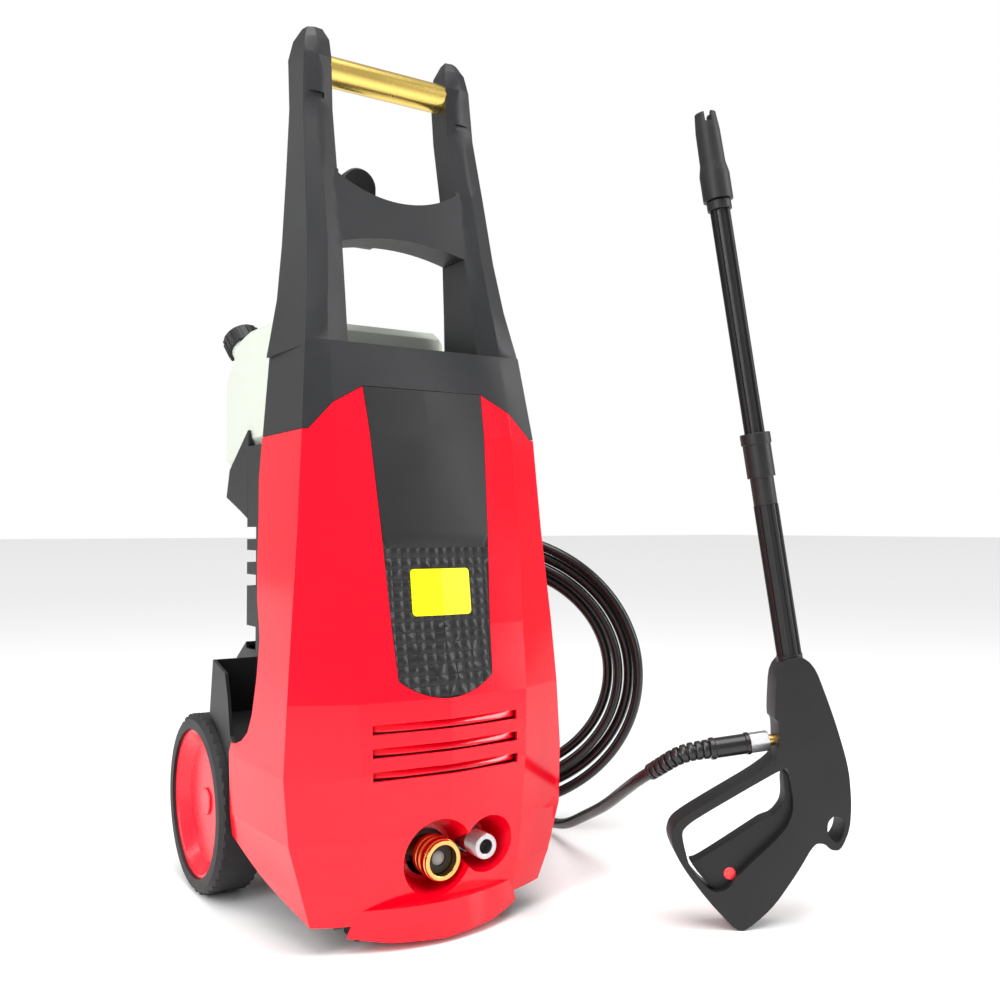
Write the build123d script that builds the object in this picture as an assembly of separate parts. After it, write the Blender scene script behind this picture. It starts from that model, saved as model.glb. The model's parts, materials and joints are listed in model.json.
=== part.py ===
"""Upright electric pressure washer on two wheels, with its gun, wand and hose.

Millimetres. X runs across the machine from the side with the tank's filler, Y from front to
back and Z up. The origin is the middle of the rubber front foot's underside, on the floor.
Sizes are named once at the top, and what fits a piece is worked out from that piece's size.
"""
import os
from math import cos, radians, sin, tan

from build123d import *

os.makedirs("parts", exist_ok=True)

# ---------------------------------------------------------------- driving dimensions
# Clearances
GAP = 0.5             # between covers that meet
RUN_FIT = 0.05        # radial clearance of a shaft that turns or slides in a bore
LOOSE = 1.0           # round a part that lifts off

# Body
WALL = 3.0            # moulded covers
FRAME_WALL = 4.0      # handle frame and base
TOP_Z = 820.0         # top of the handle legs
SEAM_Z = 437.0        # red cover meets the black frame at the sides
SEAM_PEAK_Z = 477.0   # and in the middle, over the front panel
SILL_Z = 516.0        # lower edge of the lower handle window
BASE_Z = 20.0         # underside of the base tray
BASE_THICK = 10.0

# Feet and wheels
FOOT_Y = -150.0       # front foot, from the datum below
FOOT_LENGTH = 120.0
FOOT_DEPTH = 26.0
AXLE_R = 6.0
AXLE_Y = 36.0
TYRE_R = 85.5
RIM_R = 71.0
TYRE_WIDTH = 45.0
TRACK_HALF = 124.5    # middle of a tyre from the machine's middle plane
ARCH_GAP = 2.5        # wheel arch round the tyre

# Rear housing and tank
HOUSING_X = 95.0      # half width of the upper housing
POD_X = 137.0         # half width over the wheel arches
HOUSING_REAR_Y = 34.0
HOUSING_TOP_Z = 435.0
BULKHEAD_Y = -106.0
SHELF_Z = 119.0       # floor of the side pockets
TANK_X = 90.0
TANK_WALL = 2.5
CAP_R = 21.0
CAP_HEIGHT = 22.0

# Handle
BAR_R = 14.0
BAR_Z = 783.0
BAR_Y = -79.5
BAR_SEAT = 9.0        # how deep the bar sits in each leg
HOOK_X = 19.0

# Water fittings
INLET_X = 3.5
INLET_Z = 65.0
COUPLING_R = 18.2
COUPLING_FACE_Y = -192.0
THREAD_R = 13.3       # garden hose thread, 3/4 inch
THREAD_DEPTH = 11.0
NIPPLE_R = 8.0
OUTLET_X = 47.0
OUTLET_Z = 70.0
OUTLET_R = 11.0       # M22 pipe
OUTLET_FACE_Y = -192.0
OUTLET_LENGTH = 32.0

# Motor and pump
MOTOR_Y = -72.0
MOTOR_R = 58.0
MOTOR_Z = 206.0
MOTOR_HEIGHT = 175.0
SHAFT_R = 8.0
PUMP_R = 52.0
PUMP_Z = 125.0
PISTON_R = 7.0
PISTON_CIRCLE = 28.0
PISTON_COUNT = 3
PISTON_STROKE = 4.5
HEAD_Z = 45.0

# Gun, in its own frame: z along the wand, x away from the grip
GUN_X = 278.1
GUN_Y = -335.4
GUN_TURN = -32.7      # degrees about Z
GUN_LEAN = 8.5        # degrees, top towards the machine
GUN_HALF = 15.5       # half thickness
GUN_WALL = 2.5
GUN_BORE_R = 11.5
TRIGGER_HALF = 8.0
PIN_R = 2.5
WAND_LOWER_R = 11.0
WAND_UPPER_R = 9.0
COUPLER_R = 13.5
COUPLER_Z = 137.5     # lower end of the wand coupler
COUPLER_LENGTH = 65.0
WAND_TOP_Z = 407.0
NOZZLE_R = 13.5
NOZZLE_TIP_R = 9.5
HOSE_PORT_Z = -71.0

# Hose
HOSE_R = 5.75
SLEEVE_R = 8.6
COIL_CENTRE = (216.0, 77.5)
COIL_TURN = -42.0     # degrees: the coil's long way, seen from above
COIL_LONG = 200.0     # outer half length
COIL_HIGH = 180.0     # outer half height
COIL_BAND = 41.0      # from the outer edge in to the hollow
COIL_THICK = 25.0


# ---------------------------------------------------------------- small helpers
def block(x0, x1, y0, y1, z0, z1):
    """Box between two corners."""
    size = Box(x1 - x0, y1 - y0, z1 - z0)
    return Pos((x0 + x1) / 2, (y0 + y1) / 2, (z0 + z1) / 2) * size


def rod(radius, start, axis, length):
    """Cylinder from a start point along an axis."""
    plane = Plane(origin=start, z_dir=axis)
    return extrude(plane * Circle(radius), length)


def tube(outer, inner, start, axis, length):
    """Hollow cylinder from a start point along an axis."""
    plane = Plane(origin=start, z_dir=axis)
    return extrude(plane * (Circle(outer) - Circle(inner)), length)


def turned(start, axis, steps):
    """Stepped solid of (outer radius, inner radius, length) pieces, one after the other."""
    body = Part()
    place = Vector(*start)
    for outer, inner, length in steps:
        step = rod(outer, place, axis, length)
        if inner:
            step = tube(outer, inner, place, axis, length)
        body += step
        place = place + Vector(*axis).normalized() * length
    return body


def side_prism(points, x0, x1):
    """Outline of (y, z) points, drawn out across the machine."""
    face = make_face(Polyline([(x0, y, z) for y, z in points], close=True))
    return extrude(face, x1 - x0, dir=(1, 0, 0))


def front_prism(points, y0, y1):
    """Outline of (x, z) points, drawn out from front to back."""
    face = make_face(Polyline([(x, y0, z) for x, z in points], close=True))
    return extrude(face, y1 - y0, dir=(0, 1, 0))


def stacked(rings):
    """Solid with flat or ruled sides through level outlines of equal point count."""
    faces = [make_face(Polyline([(x, y, z) for x, y in ring], close=True)) for z, ring in rings]
    return loft(faces, ruled=True)


def both_sides(shape):
    """The shape and its mirror image across the machine's middle plane."""
    return shape + mirror(shape, about=Plane.YZ)


NODES = {}


def node(name, *shapes):
    """Keep a sub-part: its solids, moved to the origin under the front foot."""
    moved = [Pos(0, -FOOT_Y, 0) * solid for shape in shapes for solid in shape.solids()]
    NODES[name] = moved


# ---------------------------------------------------------------- body envelope
# height, half width at the back, side crease (x, y), front ridge (x, y), middle of the front y
ENVELOPE = [
    (22.0, 128.0, (112.0, -176.0), (78.0, -186.0), -192.0),
    (53.0, 136.0, (122.0, -181.0), (78.0, -194.0), -200.0),
    (96.0, 140.5, (134.0, -182.0), (78.0, -202.0), -208.0),
    (150.0, 141.0, (137.6, -179.0), (80.0, -206.0), -214.0),
    (209.0, 133.0, (134.5, -178.0), (83.0, -203.0), -211.0),
    (268.0, 126.0, (130.0, -175.0), (85.5, -193.0), -199.0),
    (350.0, 120.0, (123.0, -169.0), (88.0, -183.0), -187.0),
    (SEAM_Z, 113.5, (117.0, -164.0), (89.0, -170.0), -172.0),
    (SILL_Z, 107.0, (109.0, -150.0), (86.0, -151.0), -151.0),
]
ENVELOPE_REAR_Y = -50.0


def envelope_ring(entry, inset=0.0, rear=ENVELOPE_REAR_Y):
    """One level outline of the body, moved in by a wall."""
    z, back_x, crease, ridge, middle = entry
    side = [
        (back_x - inset, rear),
        (crease[0] - inset, crease[1] + 0.7 * inset),
        (ridge[0] - 0.3 * inset, ridge[1] + inset),
    ]
    mirrored = [(-x, y) for x, y in reversed(side)]
    return z, side + [(0.0, middle + inset)] + mirrored


def envelope(inset=0.0, rear=ENVELOPE_REAR_Y):
    """Solid of the body's outside, from the base to the handle sill."""
    return stacked([envelope_ring(entry, inset, rear) for entry in ENVELOPE])


def body_wall(wall):
    """Skin of the body, open at the back."""
    return envelope() - envelope(wall, ENVELOPE_REAR_Y + 10)


PANEL_TOP_X = 60.0
PANEL_FOOT_X = 46.0
PANEL_FOOT_Z = 225.0
PANEL_APEX_Z = 209.0


def panel_outline(grow):
    """Front panel: straight tapering sides and a round foot."""
    top = SEAM_PEAK_Z + 1
    x_top = PANEL_TOP_X + grow
    x_foot = PANEL_FOOT_X + grow
    corners = [(-x_foot, PANEL_FOOT_Z), (-x_top, top), (x_top, top), (x_foot, PANEL_FOOT_Z)]
    sides = Polyline(*[(x, 0, z) for x, z in corners])
    foot = ThreePointArc((x_foot, 0, PANEL_FOOT_Z), (0, 0, PANEL_APEX_Z - grow), (-x_foot, 0, PANEL_FOOT_Z))
    return Pos(0, -250, 0) * extrude(make_face(sides + foot), 120, dir=(0, 1, 0))


def above_seam(lift):
    """Everything over the line where the frame meets the red cover."""
    line = [(-160, SEAM_Z), (-112, SEAM_Z), (-89, 461), (-PANEL_TOP_X, SEAM_PEAK_Z)]
    line += [(-x, z) for x, z in reversed(line)]
    points = [(x, z + lift) for x, z in line] + [(160, 900), (-160, 900)]
    return front_prism(points, -260, 40)


# ---------------------------------------------------------------- red front cover
# rear edge of the red cover, (y, z) from the top down
COVER_EDGE = [(-60, 437), (-60, 397), (-68, 360), (-73, 324), (-82, 288), (-98, 255), (-100, 222),
              (-98, 190),
              (-92, 174), (-80, 165), (-66, 160)]
COVER_TAIL_Y = -55.0
TAIL_TOP_Z = 159.0
TAIL_FOOT_Z = 76.0
VENT_X = 71.0
LIP_X = 84.0
VENT_HEIGHT = 8.0
VENT_HEIGHTS = (187.0, 168.0, 149.0)
CUP_FLOOR_Y = -160.0
CUP_MOUTH_Y = -213.0
CUP_INLET = (INLET_X, INLET_Z, 25.0)       # floor: x, z, radius
CUP_OUTLET = (OUTLET_X, OUTLET_Z, 17.0)
CUP_INLET_MOUTH = (INLET_X - 13.0, INLET_Z + 7.0, 36.0)
CUP_OUTLET_MOUTH = (OUTLET_X - 4.0, OUTLET_Z + 6.0, 28.0)
HOLE_GAP = 2.5        # dark gap between a fitting and its hole


def flared_hole(floor, mouth, grow, floor_y):
    """Round recess that widens and drifts from its floor to its mouth."""
    rings = []
    for (x, z, radius), y in ((floor, floor_y), (mouth, CUP_MOUTH_Y)):
        rings.append(Plane(origin=(x, y, z), z_dir=(0, -1, 0)) * Circle(radius + grow))
    return loft(rings, ruled=True)


def fitting_cup(grow, floor_y):
    """Figure-of-eight recess round the two water fittings."""
    inlet = flared_hole(CUP_INLET, CUP_INLET_MOUTH, grow, floor_y)
    return inlet + flared_hole(CUP_OUTLET, CUP_OUTLET_MOUTH, grow, floor_y)


def toe_lip():
    """Bowed blade along the foot of the cover."""
    ends_y = -184.0
    bow = 22.0
    bow_r = (LIP_X ** 2 + bow ** 2) / (2 * bow)
    ring = tube(bow_r, bow_r - 14, (0, ends_y - bow + bow_r, 0), (0, 0, 1), 60)
    blade = [(-LIP_X, 14), (-50, 8), (0, 5), (50, 8), (LIP_X, 14), (LIP_X - 8, 36), (8 - LIP_X, 36)]
    return ring & front_prism(blade, ends_y - bow - 1, ends_y)


def build_front_shell():
    """Red cover with its panel opening, vent slots, fitting recess and toe lip."""
    side = [(-260, 22), (-182, 24), (-120, 46), (COVER_TAIL_Y, TAIL_FOOT_Z), (COVER_TAIL_Y, TAIL_TOP_Z)]
    side += list(reversed(COVER_EDGE)) + [(-60, 520), (-260, 520)]
    shell = body_wall(WALL) & side_prism(side, -170, 170)
    shell -= above_seam(-GAP)
    shell -= panel_outline(GAP)
    for z in VENT_HEIGHTS:
        shell -= block(-VENT_X, VENT_X, -240, -185, z - VENT_HEIGHT / 2, z + VENT_HEIGHT / 2)
    shell += fitting_cup(WALL, CUP_FLOOR_Y + WALL) & envelope()
    shell -= fitting_cup(0, CUP_FLOOR_Y)
    shell -= rod(COUPLING_R + HOLE_GAP, (INLET_X, -260, INLET_Z), (0, 1, 0), 120)
    shell -= rod(OUTLET_R + HOLE_GAP, (OUTLET_X, -260, OUTLET_Z), (0, 1, 0), 120)
    shell -= both_sides(rod(TYRE_R + ARCH_GAP, (HOUSING_X, AXLE_Y, TYRE_R), (1, 0, 0), 100))
    return shell + toe_lip()


def build_panel_and_label():
    """Black front panel and the plain warning plate stuck on it."""
    panel = body_wall(WALL) & panel_outline(0)
    panel -= above_seam(-GAP)
    lift = Pos(0, -0.8, 0)
    label = (lift * body_wall(WALL)) & block(-29, 29, -230, -180, 278, 318)
    label -= body_wall(WALL)
    label -= envelope(WALL, 10)
    return panel, label


# ---------------------------------------------------------------- handle frame
# height, inner front, ridge, crease, outer rear, inner rear: (x, y) each
LEG = [
    (SILL_Z - 6, (67, -146), (88, -152), (109.5, -151), (111, -62), (66, -83)),
    (562, (65.4, -135.5), (84, -141), (102, -136), (106.5, -76), (65, -83)),
    (612, (64, -125), (80, -130), (97.2, -124), (103.5, -80), (64, -82)),
    (677, (62.8, -111.5), (78, -115), (94, -110), (99.5, -79), (62.8, -79)),
    (740, (61, -96), (76, -100), (90.5, -96), (95.5, -76), (61, -68)),
    (790, (61, -93), (75, -96), (88, -92), (93, -66), (61, -62)),
    (808, (62, -90), (75, -92), (85, -88), (89, -68), (62, -66)),
    (TOP_Z, (66, -83), (74, -84), (80, -81), (82, -73), (67, -72)),
]
CROSS_TOP_Z = 677.0
CROSS_DIP = 19.0
CROSS_FOOT_Z = 612.0
CROSS_RISE = 9.0
LEG_INNER_X = 62.0
BAR_HALF = 61.0


def arch_cut(half, end_z, middle_z, far_z):
    """Prism with one curved edge, to cut the cross-piece's upper or lower edge."""
    curve = ThreePointArc((-half, 0, end_z), (0, 0, middle_z), (half, 0, end_z))
    rest = Polyline((half, 0, end_z), (half, 0, far_z), (-half, 0, far_z), (-half, 0, end_z))
    return Pos(0, -200, 0) * extrude(make_face(curve + rest), 220, dir=(0, 1, 0))


def cross_piece():
    """Bridge between the legs, dipped along its top and arched underneath."""
    cross = [(-125, CROSS_FOOT_Z), (-111.5, CROSS_TOP_Z + 4), (-83, CROSS_TOP_Z + 4), (-86, CROSS_FOOT_Z)]
    bridge = side_prism(cross, -LEG_INNER_X - 4, LEG_INNER_X + 4)
    bridge -= arch_cut(LEG_INNER_X, CROSS_TOP_Z, CROSS_TOP_Z - CROSS_DIP, CROSS_TOP_Z + 20)
    bridge -= arch_cut(LEG_INNER_X, CROSS_FOOT_Z, CROSS_FOOT_Z + CROSS_RISE, CROSS_FOOT_Z - 20)
    return bridge


def build_handle_frame():
    """Black frame: two legs, the cross-piece and the hollow body that caps the machine."""
    leg = stacked([(entry[0], list(entry[1:])) for entry in LEG])
    leg -= rod(BAR_R + RUN_FIT, (BAR_HALF - 2, BAR_Y, BAR_Z), (1, 0, 0), BAR_SEAT + 2)
    leg -= block(70, 92, -110, -96, 748, 754)
    frame = both_sides(leg)
    frame += cross_piece()
    body = envelope(0, -60) - envelope(FRAME_WALL, -60 - FRAME_WALL)
    body += envelope(0.5, -60) & block(-140, 140, -200, -60, SILL_Z - FRAME_WALL, SILL_Z)
    body &= above_seam(0)
    return frame + body


def build_hook():
    """Rounded hook behind the cross-piece, for the coiled hose."""
    arm_z = 640.0
    arm_thick = 12.0
    post_y = -24.0
    post_thick = 14.0
    top_z = 719.0
    arm = block(-HOOK_X, HOOK_X, -90, post_y, arm_z, arm_z + arm_thick) - cross_piece()
    post = block(-HOOK_X, HOOK_X, post_y, post_y + post_thick, arm_z, top_z - HOOK_X)
    crown = rod(HOOK_X, (0, post_y, top_z - HOOK_X), (0, 1, 0), post_thick)
    return arm + post + crown


# ---------------------------------------------------------------- rear housing, base and feet
NOTCHES = [(233, 256), (295.5, 307), (319, 331), (342, 354)]    # slots across the rear corners
NOTCH_REACH = 28.0


def corner_notches():
    """Slots cut across the right rear corner of the housing, between its ribs."""
    side_x = HOUSING_X + 1
    back_y = HOUSING_REAR_Y + 1
    corner = [(side_x, back_y - NOTCH_REACH), (side_x, back_y), (side_x - NOTCH_REACH, back_y)]
    cuts = Part()
    for low, high in NOTCHES:
        cuts += Pos(0, 0, low) * extrude(make_face(Polyline(*corner, close=True)), high - low)
    return cuts


def build_rear_housing():
    """Black back cover with wheel arches, side pockets and ribbed corners."""
    centre = [(BULKHEAD_Y, SHELF_Z), (-31, SHELF_Z), (-31, 32), (62, 32), (79, 60), (79, 165), (63, 221)]
    centre += [(HOUSING_REAR_Y, 240), (HOUSING_REAR_Y, HOUSING_TOP_Z), (BULKHEAD_Y, HOUSING_TOP_Z)]
    inner = [(BULKHEAD_Y - 5, SHELF_Z - 5), (-31 + WALL, SHELF_Z - 5), (-31 + WALL, 27), (60, 27), (76, 61)]
    inner += [(76, 164), (61, 218), (HOUSING_REAR_Y - WALL, 238)]
    inner += [(HOUSING_REAR_Y - WALL, HOUSING_TOP_Z - WALL), (BULKHEAD_Y - 5, HOUSING_TOP_Z - WALL)]
    body = side_prism(centre, -HOUSING_X, HOUSING_X) - side_prism(inner, WALL - HOUSING_X, HOUSING_X - WALL)
    body -= block(WALL - HOUSING_X, HOUSING_X - WALL, -35, -20, 27, SHELF_Z - 5)

    pod_front = COVER_TAIL_Y + GAP
    pod = [(pod_front, TAIL_FOOT_Z), (pod_front, TAIL_TOP_Z - 2), (-44, 163), (-37, 195), (-28, 218)]
    pod += [(8, 227), (18, 170), (18, TAIL_FOOT_Z)]
    pocket = [(pod_front - 5, SHELF_Z), (pod_front - 5, 240), (8 - WALL, 240), (18 - WALL, 170)]
    pocket.append((18 - WALL, SHELF_Z))
    side = side_prism(pod, HOUSING_X - 1, POD_X)
    well = side_prism(pocket, HOUSING_X, POD_X - WALL)
    arch = TYRE_R + ARCH_GAP
    well -= rod(arch + WALL, (0, AXLE_Y, TYRE_R), (1, 0, 0), 200)
    side -= well
    side -= rod(arch, (HOUSING_X, AXLE_Y, TYRE_R), (1, 0, 0), 200)
    shelf = block(HOUSING_X - 1, POD_X, BULKHEAD_Y, COVER_TAIL_Y + WALL, SHELF_Z - 4, SHELF_Z)
    shelf &= envelope(WALL + GAP)
    shelf -= rod(arch, (HOUSING_X, AXLE_Y, TYRE_R), (1, 0, 0), 200)
    wing = block(HOUSING_X - 1, 160, BULKHEAD_Y, BULKHEAD_Y + WALL, SHELF_Z - 4, SEAM_Z - 2)
    wing &= envelope(WALL + GAP)
    body -= both_sides(corner_notches())
    body += both_sides(side + shelf + wing)
    body -= rod(AXLE_R + LOOSE, (-200, AXLE_Y, TYRE_R), (1, 0, 0), 400)
    body -= rear_cuts()
    return body


SWITCH_Z = 300.0
SWITCH_HALF_X = 13.0
SWITCH_HALF_Z = 19.0
ROCKER_HALF_X = 9.0
GLAND = (-60.0, 79.0, 110.0)
GLAND_R = 8.0
COVER_SCREWS = [(x, z) for x in (-60.0, 60.0) for z in (268.0, 345.0)]
SCREW_R = 2.0


def rear_cuts():
    """Openings in the housing's back for the switch, the cord gland and the screws."""
    cuts = block(-SWITCH_HALF_X - 0.1, SWITCH_HALF_X + 0.1, HOUSING_REAR_Y - 10, HOUSING_REAR_Y + 1,
                 SWITCH_Z - SWITCH_HALF_Z - 0.1, SWITCH_Z + SWITCH_HALF_Z + 0.1)
    cuts += rod(GLAND_R, (GLAND[0], GLAND[1] - 10, GLAND[2]), (0, 1, 0), 20)
    for x, z in COVER_SCREWS:
        cuts += rod(SCREW_R, (x, HOUSING_REAR_Y - 10, z), (0, 1, 0), 20)
    return cuts


def build_switch():
    """Rocker switch in the housing's back: its body and the rocker on its two stub pins."""
    face = HOUSING_REAR_Y
    low, high = SWITCH_Z - SWITCH_HALF_Z, SWITCH_Z + SWITCH_HALF_Z
    body = block(-SWITCH_HALF_X, SWITCH_HALF_X, face - 20, face + 0.1, low, high)
    body += block(-SWITCH_HALF_X - 2, SWITCH_HALF_X + 2, face + 0.1, face + 1.6, low - 2, high + 2)
    room = ROCKER_HALF_X + 0.4
    body -= block(-room, room, face - 14, face + 5, low + 3, high - 3)
    body -= rod(1.5 + RUN_FIT, (-room - 2, face, SWITCH_Z), (1, 0, 0), 2 * room + 4)
    shape = [(face - 7, SWITCH_Z - 11), (face + 4, SWITCH_Z - 13), (face + 2, SWITCH_Z), (face + 4, SWITCH_Z + 13),
             (face - 7, SWITCH_Z + 11)]
    rocker = side_prism(shape, -ROCKER_HALF_X, ROCKER_HALF_X)
    rocker += rod(1.5, (-room - 1.5, face, SWITCH_Z), (1, 0, 0), 2 * room + 3)
    return body, rocker


def build_gland():
    """Strain relief for the mains cord in the housing's back."""
    x, y, z = GLAND
    steps = [(GLAND_R + 3, 4, 2), (GLAND_R, 4, WALL), (GLAND_R + 2, 4, 6)]
    steps += [(GLAND_R, 4, 6), (GLAND_R - 2, 4, 6)]
    return turned((x, y - WALL - 2, z), (0, 1, 0), steps)


def build_cover_screws():
    """Pan-head screws through the housing's back."""
    screws = []
    for x, z in COVER_SCREWS:
        screws.append(turned((x, HOUSING_REAR_Y - 12, z), (0, 1, 0), [(SCREW_R, 0, 12), (4.2, 0, 2.4)]))
    return screws


CRADLE_TIP_Y = 101.0


def build_cradle():
    """Bracket behind the housing that the tank sits in."""
    back = HOUSING_REAR_Y + 0.1
    tip = CRADLE_TIP_Y
    outer = [(back, 362), (56, 370), (80, 378), (tip, 385), (tip - 10, 414), (back, 452)]
    inner = [(back + 4, 368), (57, 376), (80, 384), (tip - 5, 390), (tip - 14.5, 416), (tip - 14.5, 470)]
    inner += [(back - 1, 470), (back - 1, 432), (back + 4, 432)]
    return side_prism(outer, -HOUSING_X, HOUSING_X) - side_prism(inner, 4 - HOUSING_X, HOUSING_X - 4)


BOSS_HALF = 12.0


def build_base():
    """Floor of the machine, with the front toe, the axle bosses and the pump's seat."""
    boss_x = HOUSING_X - WALL - GAP
    plate = block(-boss_x, boss_x, FOOT_Y - FOOT_DEPTH, 55, BASE_Z, BASE_Z + BASE_THICK)
    boss = block(boss_x - 14, boss_x, AXLE_Y - BOSS_HALF, AXLE_Y + BOSS_HALF, BASE_Z + 5, TYRE_R + BOSS_HALF)
    plate += both_sides(boss)
    plate += block(-30, 30, MOTOR_Y - 30, MOTOR_Y + 30, BASE_Z + 5, HEAD_Z)
    plate += block(-FOOT_LENGTH / 2, FOOT_LENGTH / 2, FOOT_Y - 10, FOOT_Y + 10, 8, BASE_Z + 2)
    plate -= rod(AXLE_R, (-200, AXLE_Y, TYRE_R), (1, 0, 0), 400)
    return plate


def build_foot():
    """Rubber strip under the front of the base, with a groove for the base's rib."""
    half_x = FOOT_LENGTH / 2 + 6
    half_y = FOOT_DEPTH / 2
    outer = block(-half_x, half_x, FOOT_Y - half_y, FOOT_Y + half_y, 0, BASE_Z)
    groove = block(-FOOT_LENGTH / 2, FOOT_LENGTH / 2, FOOT_Y - 10, FOOT_Y + 10, 8, BASE_Z + 5)
    return outer - groove


# ---------------------------------------------------------------- wheels
def build_wheel(sign):
    """Rim, tyre and centre cap of one wheel; sign is the side of the machine."""
    outer = sign * (TRACK_HALF + TYRE_WIDTH / 2)
    inward = (-sign, 0, 0)

    def at(depth):
        return (outer - sign * depth, AXLE_Y, TYRE_R)

    barrel = tube(RIM_R, RIM_R - 4, at(3), inward, TYRE_WIDTH - 6)
    cone_top = Plane(origin=at(3), z_dir=inward) * Circle(RIM_R)
    cone_foot = Plane(origin=at(14), z_dir=inward) * Circle(60)
    dish = loft([cone_top, cone_foot]) + rod(RIM_R - 1, at(14), inward, 5)
    hollow_top = Plane(origin=at(3), z_dir=inward) * Circle(RIM_R - 3)
    hollow_foot = Plane(origin=at(14), z_dir=inward) * Circle(57)
    dish -= loft([hollow_top, hollow_foot])
    rim = barrel + dish + rod(15, at(14), inward, TYRE_WIDTH - 17)
    rim -= rod(AXLE_R + RUN_FIT, at(-5), inward, TYRE_WIDTH + 10)
    rim &= rod(RIM_R, at(0), inward, TYRE_WIDTH)
    tyre = tube(TYRE_R, RIM_R, at(0), inward, TYRE_WIDTH)
    edges = tyre.edges().filter_by(GeomType.CIRCLE).sort_by(lambda edge: edge.radius)[-2:]
    tyre = chamfer(edges, 5)
    cap = turned(at(12), inward, [(13, 0, 2)])
    return rim, tyre, cap


# ---------------------------------------------------------------- water side
def build_inlet():
    """Brass nipple out of the pump, its swivel coupling and the mesh filter in its mouth."""
    head_front = MOTOR_Y - 48
    length = 36.0
    flange = 3.0
    start = (INLET_X, head_front, INLET_Z)
    seat = COUPLING_FACE_Y + THREAD_DEPTH
    neck = head_front - seat - flange
    nipple = turned(start, (0, -1, 0), [(NIPPLE_R, 5.5, neck), (NIPPLE_R + flange, 5.5, flange)])
    face = (INLET_X, COUPLING_FACE_Y, INLET_Z)
    rings = [(COUPLING_R - 1, 3), (COUPLING_R, 6), (COUPLING_R - 1.5, 3), (COUPLING_R, 4),
             (COUPLING_R - 1.5, 3), (COUPLING_R - 0.5, 5)]
    rings.append((COUPLING_R - 3, length - sum(depth for radius, depth in rings)))
    coupling = turned(face, (0, 1, 0), [(radius, 0, depth) for radius, depth in rings])
    coupling -= rod(THREAD_R, face, (0, 1, 0), THREAD_DEPTH)
    coupling -= rod(NIPPLE_R + flange + RUN_FIT, face, (0, 1, 0), THREAD_DEPTH + flange + RUN_FIT)
    coupling -= rod(NIPPLE_R + RUN_FIT, face, (0, 1, 0), 60)
    mesh = turned((INLET_X, seat, INLET_Z), (0, 1, 0), [(5.4, 3.8, 3), (4.6, 3.8, 12), (4.6, 0, 1)])
    return nipple, coupling, mesh


def build_outlet():
    """Steel pipe with the M22 end that the high-pressure hose screws onto."""
    head_front = MOTOR_Y - 48
    neck = head_front - OUTLET_FACE_Y - OUTLET_LENGTH
    steps = [(9.5, 4, neck), (OUTLET_R, 6.5, OUTLET_LENGTH)]
    return turned((OUTLET_X, head_front, OUTLET_Z), (0, -1, 0), steps)


# ---------------------------------------------------------------- motor and pump
def build_motor():
    """Steel can with end plates, stator, bearings and the rotor with its fan."""
    top = MOTOR_Z + MOTOR_HEIGHT
    up = (0, 0, 1)
    can = tube(MOTOR_R, MOTOR_R - 2, (0, MOTOR_Y, MOTOR_Z), up, MOTOR_HEIGHT)
    for z in (MOTOR_Z, top - 6):
        can += tube(MOTOR_R - 1, 16, (0, MOTOR_Y, z), up, 6)
    stator = tube(MOTOR_R - 2, 36, (0, MOTOR_Y, MOTOR_Z + 40), up, 80)
    for z in (MOTOR_Z + 28, MOTOR_Z + 120):
        stator += tube(MOTOR_R - 6, 38, (0, MOTOR_Y, z), up, 12)
    bearings = []
    for z in (MOTOR_Z, top - 9):
        bearings.append(tube(16, SHAFT_R + RUN_FIT, (0, MOTOR_Y, z), up, 9))
    rotor = rod(SHAFT_R, (0, MOTOR_Y, MOTOR_Z - 24), up, MOTOR_HEIGHT + 42)
    rotor += rod(35, (0, MOTOR_Y, MOTOR_Z + 42), up, 76)
    return can, stator, bearings, rotor


def build_fan():
    """Cooling fan pressed on the top of the motor shaft."""
    z = MOTOR_Z + MOTOR_HEIGHT + 4
    fan = tube(14, SHAFT_R, (0, MOTOR_Y, z), (0, 0, 1), 12)
    fan += tube(52, 13, (0, MOTOR_Y, z), (0, 0, 1), 1.6)
    for index in range(8):
        blade = block(13, 50, -1, 1, z + 1, z + 12)
        fan += Pos(0, MOTOR_Y, 0) * Rot(0, 0, index * 45) * blade
    return fan


def piston_place(index):
    """Angle of a piston round the shaft."""
    angle = radians(90 + 360 / PISTON_COUNT * index)
    return PISTON_CIRCLE * cos(angle), MOTOR_Y + PISTON_CIRCLE * sin(angle)


SWASH_TILT = 6.0


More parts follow.
